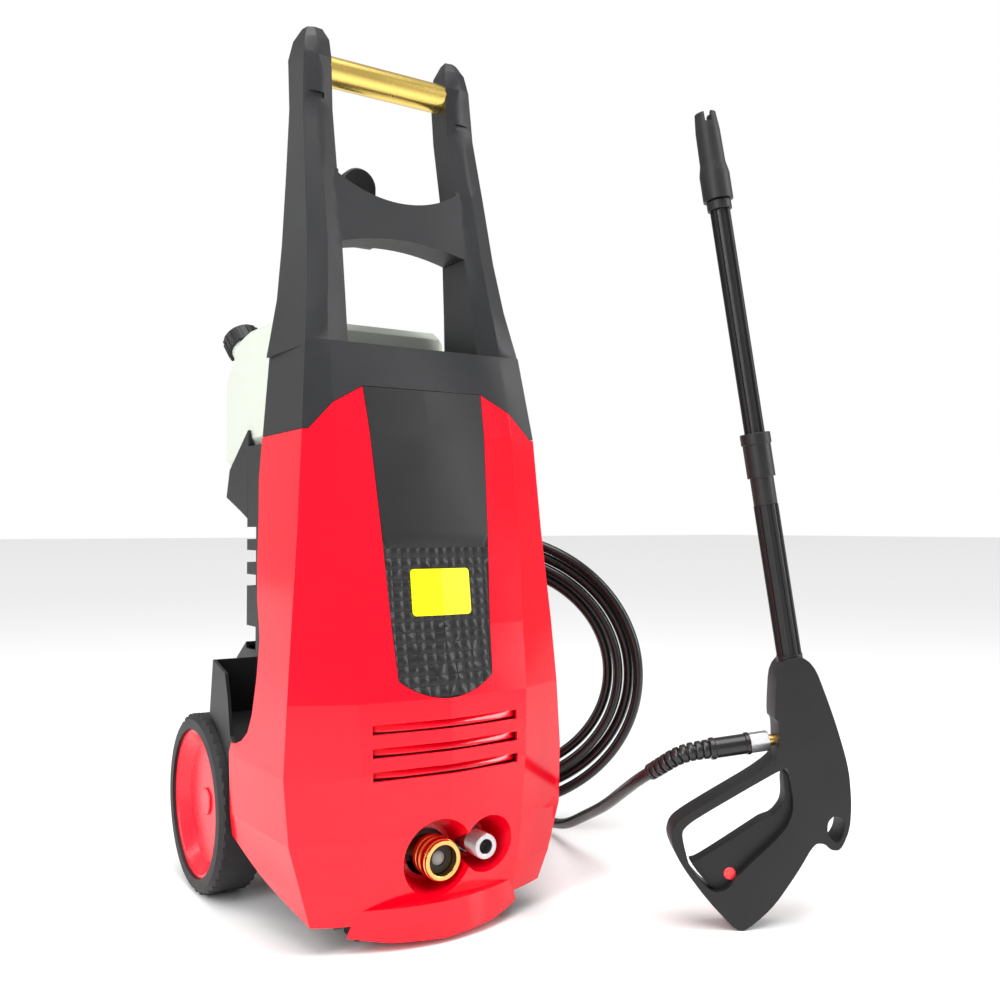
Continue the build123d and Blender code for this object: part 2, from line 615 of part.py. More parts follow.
def build_pump():
    """Pump case under the motor, its head, the swash plate, the pistons and their springs."""
    up = (0, 0, 1)
    floor = 8.0
    case = tube(PUMP_R, PUMP_R - 5, (0, MOTOR_Y, PUMP_Z), up, MOTOR_Z - PUMP_Z)
    case += rod(PUMP_R, (0, MOTOR_Y, PUMP_Z), up, floor)
    head = block(-50, 62, MOTOR_Y - 48, MOTOR_Y + 46, HEAD_Z, PUMP_Z)
    swash_z = MOTOR_Z - 22
    tilt = tan(radians(SWASH_TILT))
    plate_r = 40.0
    plate = rod(plate_r, (0, MOTOR_Y, swash_z - 10), up, 24)
    slope = [(MOTOR_Y - 60, swash_z - 8 - 60 * tilt), (MOTOR_Y + 60, swash_z - 8 + 60 * tilt)]
    plate &= side_prism(slope + [(MOTOR_Y + 60, swash_z + 12), (MOTOR_Y - 60, swash_z + 12)], -60, 60)
    plate -= rod(SHAFT_R, (0, MOTOR_Y, swash_z - 2), up, 40)
    pistons = []
    springs = []
    for index in range(PISTON_COUNT):
        x, y = piston_place(index)
        bore_foot = PUMP_Z - 30
        head -= rod(PISTON_R + RUN_FIT, (x, y, bore_foot), up, 60)
        case -= rod(PISTON_R + RUN_FIT, (x, y, PUMP_Z - 5), up, 30)
        reach = swash_z - 9 - (plate_r * tilt) - 1.5
        piston_foot = bore_foot + 2 * PISTON_STROKE
        piston = rod(PISTON_R, (x, y, piston_foot), up, reach - piston_foot)
        pistons.append(piston + rod(PISTON_R + 3, (x, y, reach - 3), up, 3))
        pressed = reach - 3 - PISTON_STROKE - 0.3 - PUMP_Z - floor
        springs.append(tube(PISTON_R + 2.6, PISTON_R + 0.6, (x, y, PUMP_Z + floor), up, pressed))
    return case, head, plate, pistons, springs


# ---------------------------------------------------------------- tank
TANK_SIDE = [(-44, 436), (33, 436), (66, 423), (94, 417), (118, 417), (124, 424), (124, 505), (116, 522),
             (76, 554), (64, 557), (-30, 557), (-44, 548)]
NECK_START = (-68.0, 90.0, 527.0)
NECK_AXIS = (-0.14, 0.64, 0.755)
NECK_R = 16.5
NECK_HEIGHT = 38.0


def build_tank():
    """Blow-moulded tank with a slanted filler neck, and its screw cap."""
    outer = side_prism(TANK_SIDE, -TANK_X, TANK_X)
    outer = chamfer(outer.faces().filter_by(Axis.X).edges(), 8)
    middle_y = sum(y for y, z in TANK_SIDE) / len(TANK_SIDE)
    middle_z = sum(z for y, z in TANK_SIDE) / len(TANK_SIDE)
    shrink_y = 1 - 2 * TANK_WALL / (max(y for y, z in TANK_SIDE) - min(y for y, z in TANK_SIDE))
    shrink_z = 1 - 2 * TANK_WALL / (max(z for y, z in TANK_SIDE) - min(z for y, z in TANK_SIDE))
    hollow = []
    for y, z in TANK_SIDE:
        hollow.append((middle_y + (y - middle_y) * shrink_y, middle_z + (z - middle_z) * shrink_z))
    inner = side_prism(hollow, TANK_WALL - TANK_X, TANK_X - TANK_WALL)
    inner = chamfer(inner.faces().filter_by(Axis.X).edges(), 8)
    up = Vector(*NECK_AXIS).normalized()
    start = Vector(*NECK_START)
    tank = outer + rod(NECK_R, start, up, NECK_HEIGHT)
    tank -= inner
    tank -= rod(NECK_R - TANK_WALL, start, up, NECK_HEIGHT + 1)
    tip = start + up * (NECK_HEIGHT + 0.2)
    skirt = CAP_HEIGHT - 8
    cap = rod(CAP_R - 1, tip, up, 4) + tube(CAP_R - 1, NECK_R + 0.3, tip, -up, skirt)
    seat = Plane(origin=tip, z_dir=up)
    for index in range(18):
        rib = block(CAP_R - 2, CAP_R, -1.3, 1.3, -skirt, 3)
        cap += seat.location * (Rot(0, 0, index * 20) * rib)
    return tank, cap


# ---------------------------------------------------------------- gun
GUN_OUTLINE = [
    (-15, 0), (15, 0), (26.6, -55), (32.8, -101), (30.5, -132), (25.5, -155), (14.8, -172), (6.5, -171),
    (1, -164), (-7.5, -163), (-25.4, -185), (-51.8, -212.5), (-78.4, -229), (-87.3, -227.5), (-109, -196),
    (-126, -164.5), (-132.4, -142.5), (-126.7, -129), (-110.5, -120.3), (-29.4, -88), (-24.4, -73), (-22, -53),
    (-25.5, -50),
]
GUARD_OPENING = [
    (-121.7, -140.5), (-119.7, -133.5), (-107.7, -126.2), (-24, -93.5), (-20, -95), (-20, -130), (-31, -148.6),
    (-76.4, -179), (-89.6, -192), (-103.5, -192), (-119, -169),
]
GUN_HOLLOW = [
    (-11, -22), (11, -22), (19, -40), (23, -55), (29.5, -101), (27, -129), (8, -134), (-6, -152), (-25, -175),
    (-54, -207), (-78, -224), (-86, -219), (-103, -193), (-101, -182), (-76.4, -172), (-34, -142), (-24, -128),
    (-24, -97), (-17, -88), (-15, -50),
]
LOOP_HOLE = [(14, -141), (22.5, -147), (19, -159), (12.5, -166.5), (5, -157), (7, -146)]
TRIGGER = [
    (7, -105), (7, -111), (-8, -119), (-20, -138), (-31, -150), (-76, -181), (-90, -193), (-100, -192),
    (-111, -176), (-117, -164.5), (-110, -165), (-55, -140.4), (-48, -137), (-36.5, -135), (-25.4, -124),
    (-23, -99.5), (-16, -98), (-9, -99.5), (-6, -105),
]
PIVOT = (-14.0, -106.0)
BUTTON = (-84.0, -180.0)
BUTTON_R = 5.5
SCREWS = [(17.5, -60), (22, -119), (-48, -196), (-126.5, -146)]
GUN_Z = -min(x * sin(radians(GUN_LEAN)) + z * cos(radians(GUN_LEAN)) for x, z in GUN_OUTLINE)
GUN_PLACE = Location((GUN_X, GUN_Y, GUN_Z)) * Rot(0, 0, GUN_TURN) * Rot(0, -GUN_LEAN, 0)


def gun_node(name, *shapes):
    """Keep a sub-part made in the gun's frame."""
    node(name, *[GUN_PLACE * shape for shape in shapes])


def build_gun_shell(side):
    """One moulded half of the gun; side is -1 for the viewer's half and 1 for the other."""
    low, high = sorted((side * 0.1, side * GUN_HALF))
    half = front_prism(GUN_OUTLINE, low, high)
    half -= front_prism(GUARD_OPENING, -30, 30) + front_prism(LOOP_HOLE, -30, 30)
    inner_low, inner_high = sorted((0, side * (GUN_HALF - GUN_WALL)))
    half -= front_prism(GUN_HOLLOW, inner_low, inner_high)
    half -= rod(GUN_BORE_R + RUN_FIT, (0, 0, -24), (0, 0, 1), 30)
    half -= rod(5.2, (0, 0, HOSE_PORT_Z), (-1, 0, 0), 40)
    half -= rod(PIN_R, (PIVOT[0], -30, PIVOT[1]), (0, 1, 0), 60)
    for x, z in SCREWS:
        half += tube(4.5, 1.5, (x, inner_low, z), (0, 1, 0), inner_high - inner_low)
    for x, z in SCREWS:
        half -= rod(1.5, (x, -12, z), (0, 1, 0), 24)
    return half & front_prism(GUN_OUTLINE, low, high)


def build_gun_inside():
    """Brass valve body with its inlet arm, the stem, the spring and the shell screws."""
    up = (0, 0, 1)
    valve = rod(9.5, (0, 0, -92), up, 64) - rod(3.2, (0, 0, -95), up, 30) - rod(6.5, (0, 0, -75), up, 50)
    valve += tube(5, 3, (-9, 0, HOSE_PORT_Z), (-1, 0, 0), 24)
    stem = rod(3, (0, 0, -104.5), up, 34.5)
    spring = tube(5.6, 4.2, (0, 0, -65.5), up, 20)
    stem += rod(5.8, (0, 0, -73), up, 3)
    screws = [rod(1.45, (x, -11.5, z), (0, 1, 0), 23) for x, z in SCREWS]
    return valve, stem, spring, screws


def build_trigger():
    """Trigger lever with its cross-bolt safety button, and the pin that it turns on."""
    lever = front_prism(TRIGGER, -TRIGGER_HALF, TRIGGER_HALF)
    bearing = PIN_R + RUN_FIT
    lever -= rod(bearing, (PIVOT[0], -30, PIVOT[1]), (0, 1, 0), 60)
    lever -= rod(BUTTON_R + RUN_FIT, (BUTTON[0], -30, BUTTON[1]), (0, 1, 0), 60)
    pin = rod(PIN_R, (PIVOT[0], -GUN_HALF + 1, PIVOT[1]), (0, 1, 0), 2 * GUN_HALF - 2)
    bolt = rod(BUTTON_R, (BUTTON[0], -TRIGGER_HALF - 1, BUTTON[1]), (0, 1, 0), 2 * TRIGGER_HALF)
    return lever, pin, bolt


def fluted(core, rib, count, z0, z1):
    """Long tube with ribs along it."""
    body = rod(core, (0, 0, z0), (0, 0, 1), z1 - z0)
    for index in range(count):
        fin = block(0, rib, -1.3, 1.3, z0, z1)
        body += Rot(0, 0, index * 360 / count) * fin
    return body


def build_wand():
    """Lower and upper wand tubes with the coupler between them."""
    up = (0, 0, 1)
    lower = fluted(WAND_LOWER_R - 1.5, WAND_LOWER_R, 10, -1, COUPLER_Z)
    lower += rod(GUN_BORE_R, (0, 0, -18), up, 20)
    lower -= rod(3, (0, 0, -20), up, COUPLER_Z + 40)
    mid = COUPLER_Z + 25
    steps = [(COUPLER_R - 3, 3, 25), (COUPLER_R - 1, WAND_UPPER_R + 0.55, COUPLER_LENGTH - 35),
             (COUPLER_R, WAND_UPPER_R + 0.55, 10)]
    coupler = turned((0, 0, COUPLER_Z), up, steps)
    upper = rod(WAND_UPPER_R + 0.5, (0, 0, mid + 0.3), up, COUPLER_LENGTH - 25)
    upper += fluted(WAND_UPPER_R - 1.5, WAND_UPPER_R, 8, mid + 2, WAND_TOP_Z)
    upper += rod(4.5, (0, 0, WAND_TOP_Z - 2), up, 32)
    upper -= rod(2.5, (0, 0, mid - 5), up, 400)
    return lower, coupler, upper


def build_nozzle():
    """Sliding nozzle collar and the turning nozzle head with its slotted tip."""
    up = (0, 0, 1)
    base = WAND_TOP_Z + 0.4
    collar = turned((0, 0, base), up, [(11, 4.55, 8), (8.5, 4.55, 30)])
    foot = base + 9
    head_length = 80.0
    profile = Polyline((8.55, 0, foot), (NOZZLE_R, 0, foot), (NOZZLE_R, 0, foot + 24), (NOZZLE_R - 2, 0, foot + 34),
                       (NOZZLE_TIP_R + 1.5, 0, foot + head_length - 16), (NOZZLE_TIP_R, 0, foot + head_length),
                       (5, 0, foot + head_length), (5, 0, foot + 40), (8.55, 0, foot + 36), close=True)
    head = revolve(make_face(profile), Axis.Z)
    head -= block(-3, 3, -20, 20, foot + head_length - 9, foot + head_length + 5)
    return collar, head


# ---------------------------------------------------------------- hose
# chosen by hand: from the gun's nut down to the floor behind the machine's side
SLEEVE_ROUTE = [(197.0, -283.4, 152.3), (187.0, -262.0, 136.0)]
LEAD_ROUTE = [(187.0, -235.0, 120.0), (197.0, -200.0, 100.0), (211.0, -156.0, 75.0),
              (231.0, -100.0, 50.0),
              (243.0, -42.0, 25.0), (262.0, 18.5, 22.0)]
SLEEVE_SHARE = 0.3    # of the run between them that the strain relief still covers


def soft_path(points):
    """Straight runs joined by arcs as large as the runs allow."""
    stops = [Vector(*point) for point in points]
    radii = []
    for before, here, after in zip(stops, stops[1:], stops[2:]):
        turn = (here - before).get_angle(after - here)
        run = min((here - before).length, (after - here).length)
        radii.append(0.45 * run / tan(radians(turn) / 2))
    print("hose arc radii", [round(radius, 1) for radius in radii])
    return FilletPolyline(*stops, radius=radii)


def pipe_along(path, radius):
    """Round solid swept along a path."""
    section = Plane(origin=path @ 0, z_dir=path % 0) * Circle(radius)
    return sweep(section, path=path)


def build_hose():
    """Steel nut, strain relief, free lead, coil and the coupling on the hose's far end."""
    start = (GUN_PLACE * Pos(-24.5, 0, HOSE_PORT_Z)).position
    out = ((GUN_PLACE * Pos(-124.5, 0, HOSE_PORT_Z)).position - start).normalized()
    hexagon = Plane(origin=start + out * 6, z_dir=out) * (RegularPolygon(9.5, 6) - Circle(5.1))
    nut = extrude(hexagon, 17)
    collar = start + out * 23
    sleeve = rod(9.5, collar, out, 36)
    last = Vector(*SLEEVE_ROUTE[-1])
    meet = last + (Vector(*LEAD_ROUTE[0]) - last) * SLEEVE_SHARE
    relief_path = soft_path([collar + out * 30, *SLEEVE_ROUTE, meet])
    sleeve += pipe_along(relief_path, SLEEVE_R)
    lead = pipe_along(soft_path([meet, *LEAD_ROUTE]), HOSE_R)

    centre = Location((*COIL_CENTRE, COIL_HIGH + 1)) * Rot(0, 0, COIL_TURN) * Rot(90, 0, 0)
    outline = Ellipse(COIL_LONG, COIL_HIGH) - Ellipse(COIL_LONG - COIL_BAND, COIL_HIGH - COIL_BAND)
    coil = centre * extrude(outline, COIL_THICK / 2, both=True)
    lead -= coil
    return nut, sleeve, lead, coil


def build_end_coupling():
    """Screw coupling on the far end of the hose, lying behind the coil."""
    turn = radians(COIL_TURN)
    along = Vector(cos(turn), sin(turn), 0)
    back = Vector(-sin(turn), cos(turn), 0)
    radius = 13.0
    start = Vector(*COIL_CENTRE, radius) + back * (COIL_THICK / 2 + radius) - along * 18
    return turned(start, along, [(9, 4, 12), (radius, 4, 14), (radius, OUTLET_R + 0.1, 20)])


# ---------------------------------------------------------------- assembly
def main():
    node("front_shell", build_front_shell())
    panel, label = build_panel_and_label()
    node("front_panel", panel)
    node("label_plate", label)
    node("handle_frame", build_handle_frame())
    node("handle_bar", tube(BAR_R, BAR_R - 2, (-BAR_HALF - BAR_SEAT + 0.3, BAR_Y, BAR_Z), (1, 0, 0),
                            2 * (BAR_HALF + BAR_SEAT - 0.3)))
    node("hose_hook", build_hook())
    node("rear_housing", build_rear_housing())
    node("tank_cradle", build_cradle())
    node("base_tray", build_base())
    node("front_foot", build_foot())
    axle_half = TRACK_HALF + TYRE_WIDTH / 2 - 14.5
    node("axle", rod(AXLE_R, (-axle_half, AXLE_Y, TYRE_R), (1, 0, 0), 2 * axle_half))
    for name, sign in (("left", -1), ("right", 1)):
        rim, tyre, cap = build_wheel(sign)
        node(f"wheel_rim_{name}", rim)
        node(f"wheel_tyre_{name}", tyre)
        node(f"wheel_cap_{name}", cap)

    nipple, coupling, mesh = build_inlet()
    node("inlet_nipple", nipple)
    node("inlet_coupling", coupling)
    node("inlet_filter", mesh)
    node("outlet_fitting", build_outlet())

    can, stator, bearings, rotor = build_motor()
    node("motor_can", can)
    node("motor_stator", stator)
    node("motor_bearings", *bearings)
    node("motor_rotor", rotor)
    node("cooling_fan", build_fan())
    case, head, plate, pistons, springs = build_pump()
    node("pump_case", case)
    node("pump_head", head)
    node("swash_plate", plate)
    for index, piston in enumerate(pistons):
        node(f"piston_{index + 1}", piston)
    node("piston_springs", *springs)
    body, rocker = build_switch()
    node("switch_body", body)
    node("power_rocker", rocker)
    node("cord_gland", build_gland())
    node("cover_screws", *build_cover_screws())
    node("capacitor", rod(17, (-70, -40, 250), (0, 0, 1), 80))

    tank, cap = build_tank()
    node("detergent_tank", tank)
    node("tank_cap", cap)

    gun_node("gun_shell_left", build_gun_shell(-1))
    gun_node("gun_shell_right", build_gun_shell(1))
    valve, stem, spring, screws = build_gun_inside()
    gun_node("gun_valve_body", valve)
    gun_node("valve_stem", stem)
    gun_node("valve_spring", spring)
    gun_node("gun_screws", *screws)
    lever, pin, bolt = build_trigger()
    gun_node("gun_trigger", lever)
    gun_node("trigger_pin", pin)
    gun_node("safety_button", bolt)
    lower, coupler, upper = build_wand()
    gun_node("wand_lower", lower)
    gun_node("wand_coupler", coupler)
    gun_node("wand_upper", upper)
    collar, nozzle = build_nozzle()
    gun_node("nozzle_collar", collar)
    gun_node("nozzle_head", nozzle)

    nut, sleeve, lead, coil = build_hose()
    node("hose_nut", nut)
    node("hose_sleeve", sleeve)
    node("hose_lead", lead)
    node("hose_coil", coil)
    node("hose_end_coupling", build_end_coupling())

    for name, solids in NODES.items():
        export_step(Compound(solids), f"parts/{name}.step")
    print(len(NODES), "nodes")


main()
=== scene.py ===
# %% [markdown]
# # A pressure washer, piece by piece
# The machine stands upright on two wheels and a rubber foot. Its gun and wand stand beside it,
# joined to it by a black hose that is wound into a loose coil.
# The hard parts were drawn first as exact solids, and they arrive here as a fixed frame of meshes.
# This lesson gives every one of them a real finish, and swaps the plain ones for finer meshes.

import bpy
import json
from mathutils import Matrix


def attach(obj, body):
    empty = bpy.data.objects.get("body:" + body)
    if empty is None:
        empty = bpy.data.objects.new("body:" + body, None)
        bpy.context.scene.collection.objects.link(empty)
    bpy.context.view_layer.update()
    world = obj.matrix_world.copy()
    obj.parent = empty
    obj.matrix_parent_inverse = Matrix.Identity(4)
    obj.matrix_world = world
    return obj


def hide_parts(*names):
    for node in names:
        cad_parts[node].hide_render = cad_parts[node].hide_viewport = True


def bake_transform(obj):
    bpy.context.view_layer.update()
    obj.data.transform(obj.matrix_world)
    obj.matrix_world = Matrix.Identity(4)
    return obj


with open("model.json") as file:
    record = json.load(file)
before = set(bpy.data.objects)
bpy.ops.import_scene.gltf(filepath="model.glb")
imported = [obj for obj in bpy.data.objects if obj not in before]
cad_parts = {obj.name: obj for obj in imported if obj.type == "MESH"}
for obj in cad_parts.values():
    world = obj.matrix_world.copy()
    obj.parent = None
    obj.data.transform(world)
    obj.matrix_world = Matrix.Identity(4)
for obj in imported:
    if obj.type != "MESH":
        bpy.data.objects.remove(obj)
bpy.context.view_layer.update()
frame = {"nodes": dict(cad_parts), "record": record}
nodes = frame["nodes"]

# %% Tools used all through
import json
from math import cos, pi, radians, sin

import bmesh
import bpy
from mathutils import Matrix, Vector

MM = 0.001
DATUM_Y = 150.0   # the machine's own zero line lies this far behind the middle of the front foot


def at(x, y, z):
    """A point of the machine's own millimetres, as metres in the frame."""
    return Vector((x, y + DATUM_Y, z)) * MM


# %% [markdown]
# ## The camera
# A normal lens near chest height of the machine, looking slightly up, keeps the tall legs upright.
# The camera comes first, because everything after it is judged through it.

# %% Camera
lens = bpy.data.cameras.new("camera")
lens.lens = 37.5
lens.sensor_width = 36
lens.clip_end = 60
camera = bpy.data.objects.new("camera", lens)
camera.location = (-0.447, -0.834, 0.355)
camera.rotation_euler = (radians(91.43), 0, radians(-32.71))
bpy.context.collection.objects.link(camera)
bpy.context.scene.camera = camera
print("camera at", tuple(camera.location))

# %% [markdown]
# ## The hose
# A high-pressure hose is stiff rubber with a braid inside, so it bends in wide, even curves.
# One smooth NURBS line does that better than a drawn polyline: its control points pull the line
# towards themselves without ever making a corner. The coil is more points of the same line,
# each turn a little smaller than the last and leaning a little, as loose turns do.

# %% The hose's line
HOSE_R = 5.75
COIL_MIDDLE = (216.0, 77.5)
COIL_TURN = radians(-42.0)
TURNS = 4
STEPS = 16          # points in each turn


def in_coil(along, back, up):
    """A point of the coil: along its long way, towards its back, and up from the floor."""
    x = COIL_MIDDLE[0] + along * cos(COIL_TURN) - back * sin(COIL_TURN)
    y = COIL_MIDDLE[1] + along * sin(COIL_TURN) + back * cos(COIL_TURN)
    return at(x, y, up)


hose_points = [
    at(247.4, -315.7, 160.8), at(222.4, -299.7, 156.4), at(197, -283.4, 152.3), at(187, -262, 136),
    at(187, -235, 120), at(197, -200, 100), at(211, -156, 75), at(231, -100, 50), at(243, -45, 24),
    in_coil(78, -22, 12),
]
for step in range(TURNS * STEPS + 1):
    share = step / STEPS
    angle = radians(-82) - 2 * pi * share
    inward = 12.2 * share + 1.2 * sin(2.1 * angle)
    lean = 5.5 * cos(angle / 2 + 0.7)
    wide = 192.0 - inward
    high = 173.0 - inward
    hose_points.append(in_coil(wide * cos(angle), lean, 181 + high * sin(angle)))
hose_points += [
    in_coil(-60, 15, 66), in_coil(-75, 24, 36), in_coil(-62, 27, 17), in_coil(-40, 27, 14),
    in_coil(-18, 27, 14),
]


def hose_curve(points, radius):
    """An open NURBS curve of the given thickness through the pull of its points."""
    curve = bpy.data.curves.new("hose line", "CURVE")
    curve.dimensions = "3D"
    curve.resolution_u = 8
    curve.bevel_depth = radius * MM
    curve.bevel_resolution = 4
    spline = curve.splines.new("NURBS")
    spline.points.add(len(points) - 1)
    for point, place in zip(spline.points, points):
        point.co = (*place, 1)
    spline.order_u = 3
    spline.use_endpoint_u = True
    return bpy.data.objects.new("hose line", curve)


def mesh_of(curve_object):
    """The curve's own mesh: its line when it has no thickness, its tube when it has."""
    bpy.context.collection.objects.link(curve_object)
    bpy.context.view_layer.update()
    ready = curve_object.evaluated_get(bpy.context.evaluated_depsgraph_get())
    mesh = bpy.data.meshes.new_from_object(ready)
    bpy.data.objects.remove(curve_object)
    return mesh


hose_line = [vertex.co.copy() for vertex in mesh_of(hose_curve(hose_points, 0)).vertices]

# %% [markdown]
# ## Finishes shared by many pieces
# Moulded plastic is never quite smooth. A fine grain breaks up its highlights, and hands and
# dust change its gloss in soft patches. Both effects are node groups with their own inputs,
# so each material sets its own strength and the shader stays in the material.

# %% Two small helpers for nodes


def link(tree, start, end):
    """Join an output socket to an input socket."""
    tree.links.new(start, end)


def new_group(title, inputs, outputs):
    """An empty node group with named sockets; returns the group and its two end nodes."""
    group = bpy.data.node_groups.new(title, "ShaderNodeTree")
    for name, kind, value in inputs:
        socket = group.interface.new_socket(name, in_out="INPUT", socket_type=kind)
        if value is not None:
            socket.default_value = value
    for name, kind in outputs:
        group.interface.new_socket(name, in_out="OUTPUT", socket_type=kind)
    start = group.nodes.new("NodeGroupInput")
    end = group.nodes.new("NodeGroupOutput")
    return group, start, end


# %% Grain: a bump as fine as the mould's texture
NUMBER, VECTOR, COLOUR = "NodeSocketFloat", "NodeSocketVector", "NodeSocketColor"
grain, start, end = new_group(
    "mould grain",
    [("Place", VECTOR, None), ("Size", NUMBER, 900.0), ("Depth", NUMBER, 0.1),
     ("Waves", NUMBER, 0.0)],
    [("Normal", VECTOR)],
)
pebbles = grain.nodes.new("ShaderNodeTexNoise")
pebbles.inputs["Detail"].default_value = 3
swell = grain.nodes.new("ShaderNodeTexNoise")
swell.inputs["Scale"].default_value = 14
swell.inputs["Detail"].default_value = 1
both = grain.nodes.new("ShaderNodeMath")
both.operation = "MULTIPLY_ADD"
bump = grain.nodes.new("ShaderNodeBump")
bump.inputs["Distance"].default_value = 0.0004
link(grain, start.outputs["Place"], pebbles.inputs["Vector"])
link(grain, start.outputs["Size"], pebbles.inputs["Scale"])
link(grain, start.outputs["Place"], swell.inputs["Vector"])
link(grain, swell.outputs["Fac"], both.inputs[0])
link(grain, start.outputs["Waves"], both.inputs[1])
link(grain, pebbles.outputs["Fac"], both.inputs[2])
link(grain, both.outputs[0], bump.inputs["Height"])
link(grain, start.outputs["Depth"], bump.inputs["Strength"])
link(grain, bump.outputs["Normal"], end.inputs["Normal"])
print("group", grain.name)

# %% Handling: soft patches where hands and dust have changed the gloss and the shade
handling, start, end = new_group(
    "handling",
    [("Place", VECTOR, None), ("Colour", COLOUR, (0.5, 0.5, 0.5, 1)), ("Dust", NUMBER, 0.1),
     ("Gloss low", NUMBER, 0.3), ("Gloss high", NUMBER, 0.4)],
    [("Colour", COLOUR), ("Roughness", NUMBER)],
)
patches = handling.nodes.new("ShaderNodeTexNoise")
patches.inputs["Scale"].default_value = 9
patches.inputs["Detail"].default_value = 5
patches.inputs["Roughness"].default_value = 0.6
spread = handling.nodes.new("ShaderNodeMapRange")
spread.inputs["From Min"].default_value = 0.35
spread.inputs["From Max"].default_value = 0.7
dusty = handling.nodes.new("ShaderNodeMath")
dusty.operation = "MULTIPLY"
mix = handling.nodes.new("ShaderNodeMix")
mix.data_type = "RGBA"
mix.inputs[7].default_value = (0.42, 0.4, 0.38, 1)
rough = handling.nodes.new("ShaderNodeMapRange")
link(handling, start.outputs["Place"], patches.inputs["Vector"])
link(handling, patches.outputs["Fac"], spread.inputs["Value"])
link(handling, spread.outputs["Result"], dusty.inputs[0])
link(handling, start.outputs["Dust"], dusty.inputs[1])
link(handling, dusty.outputs[0], mix.inputs[0])
link(handling, start.outputs["Colour"], mix.inputs[6])
link(handling, spread.outputs["Result"], rough.inputs["Value"])
link(handling, start.outputs["Gloss low"], rough.inputs["To Min"])
link(handling, start.outputs["Gloss high"], rough.inputs["To Max"])
link(handling, mix.outputs[2], end.inputs["Colour"])
link(handling, rough.outputs["Result"], end.inputs["Roughness"])
print("group", handling.name)

# %% A material is the two groups, one shader and its own numbers


def finish(title, colour, gloss, grain_size=900, grain_depth=0.1, waves=0.0, dust=0.03,
           metal=0.0, coat=0.0, shine=0.5):
    """Principled shader, mould grain and handling patches; gloss is (low, high) roughness."""
    material = bpy.data.materials.new(title)
    material.use_nodes = True
    tree = material.node_tree
    shader = tree.nodes["Principled BSDF"]
    place = tree.nodes.new("ShaderNodeTexCoord")
    marks = tree.nodes.new("ShaderNodeGroup")
    marks.node_tree = handling
    marks.inputs["Colour"].default_value = (*colour, 1)
    marks.inputs["Dust"].default_value = dust
    marks.inputs["Gloss low"].default_value = gloss[0]
    marks.inputs["Gloss high"].default_value = gloss[1]
    texture = tree.nodes.new("ShaderNodeGroup")
    texture.node_tree = grain
    texture.inputs["Size"].default_value = grain_size
    texture.inputs["Depth"].default_value = grain_depth
    texture.inputs["Waves"].default_value = waves
    link(tree, place.outputs["Object"], marks.inputs["Place"])
    link(tree, place.outputs["Object"], texture.inputs["Place"])
    link(tree, marks.outputs["Colour"], shader.inputs["Base Color"])
    link(tree, marks.outputs["Roughness"], shader.inputs["Roughness"])
    link(tree, texture.outputs["Normal"], shader.inputs["Normal"])
    shader.inputs["Metallic"].default_value = metal
    shader.inputs["Specular IOR Level"].default_value = shine
    shader.inputs["Coat Weight"].default_value = coat
    shader.inputs["Coat Roughness"].default_value = 0.05
    return material


